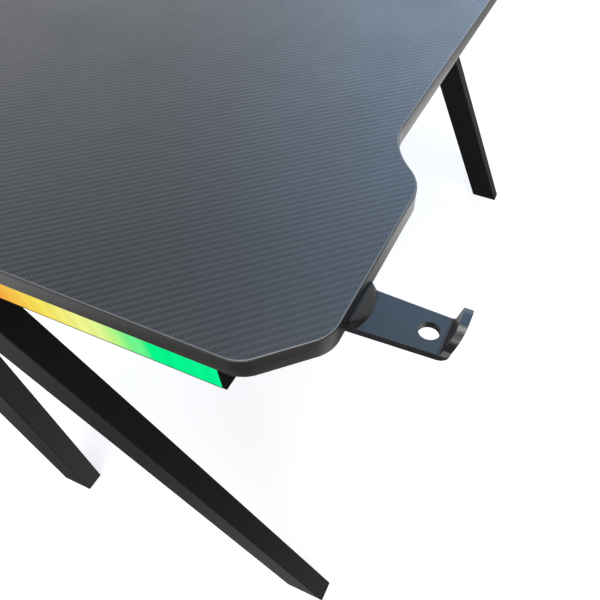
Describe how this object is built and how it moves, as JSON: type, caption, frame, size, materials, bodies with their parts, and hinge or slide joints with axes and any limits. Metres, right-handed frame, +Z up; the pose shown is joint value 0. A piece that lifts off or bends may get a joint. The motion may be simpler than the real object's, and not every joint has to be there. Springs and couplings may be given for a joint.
{
  "type": "gaming desk",
  "caption": "Straight desk with a carbon-weave top with winged front corners, leaning steel leg frames, a light bar under each end and a headset hook.",
  "frame": {"origin": "middle of the desk's base: the centre of its bounding box in plan, with the headset hook counted, on the floor", "axes": "+X along the desk's length, to the user's right; +Y from the user's side to the back; +Z up"},
  "size_m": [1.336, 0.68, 0.756],
  "materials": {
    "carbon_laminate": "carbon-weave embossed film, semi-matte",
    "edge_band": "smooth dark edge band, semi-matte",
    "board_core": "particle board with a black backing sheet",
    "powder_coat": "fine black powder coat",
    "black_plastic": "moulded, fine spark texture",
    "foot_plastic": "moulded, matte",
    "hook_plastic": "moulded, satin",
    "diffuser": "milky, lit from behind",
    "zinc": "bright zinc",
    "brass_insert": "plain",
    "flex_strip": "white flexible circuit",
    "light_chip": "clear over white",
    "circuit_board": "green solder mask",
    "switch_plastic": "plain",
    "button_plastic": "satin grey",
    "lead_sheath": "soft PVC"
  },
  "bodies": {
    "desk": {"desktop_board": "board_core", "worktop_laminate": "carbon_laminate", "edge_band": "edge_band", "left_front_strut": "powder_coat", "left_rear_strut": "powder_coat", "left_top_rail": "powder_coat", "left_rail_caps": "black_plastic", "left_front_foot": "foot_plastic", "left_rear_foot": "foot_plastic", "right_front_strut": "powder_coat", "right_rear_strut": "powder_coat", "right_top_rail": "powder_coat", "right_rail_caps": "black_plastic", "right_front_foot": "foot_plastic", "right_rear_foot": "foot_plastic", "front_crossbeam": "powder_coat", "rear_crossbeam": "powder_coat", "beam_bolts": "zinc", "desktop_bolts": "zinc", "threaded_inserts": "brass_insert", "left_light_channel": "black_plastic", "left_light_diffuser": "diffuser", "left_light_strip": "flex_strip", "left_light_chips": "light_chip", "left_light_caps": "black_plastic", "left_light_screws": "zinc", "right_light_channel": "black_plastic", "right_light_diffuser": "diffuser", "right_light_strip": "flex_strip", "right_light_chips": "light_chip", "right_light_caps": "black_plastic", "right_light_screws": "zinc", "headset_hook": "hook_plastic", "hook_screws": "zinc", "controller_case": "black_plastic", "controller_lid": "black_plastic", "controller_board": "circuit_board", "button_switch": "switch_plastic", "power_inlet": "black_plastic", "controller_screws": "zinc", "left_light_lead": "lead_sheath", "right_light_lead": "lead_sheath", "lead_clips": "black_plastic"},
    "button": {"mode_button": "button_plastic"}
  },
  "joints": [
    {"name": "mode_button_press", "type": "slide", "parent": "desk", "child": "button", "axis": [0, 1, 0], "range_m": [0, 0.001], "stiffness_N_per_m": 600}
  ]
}
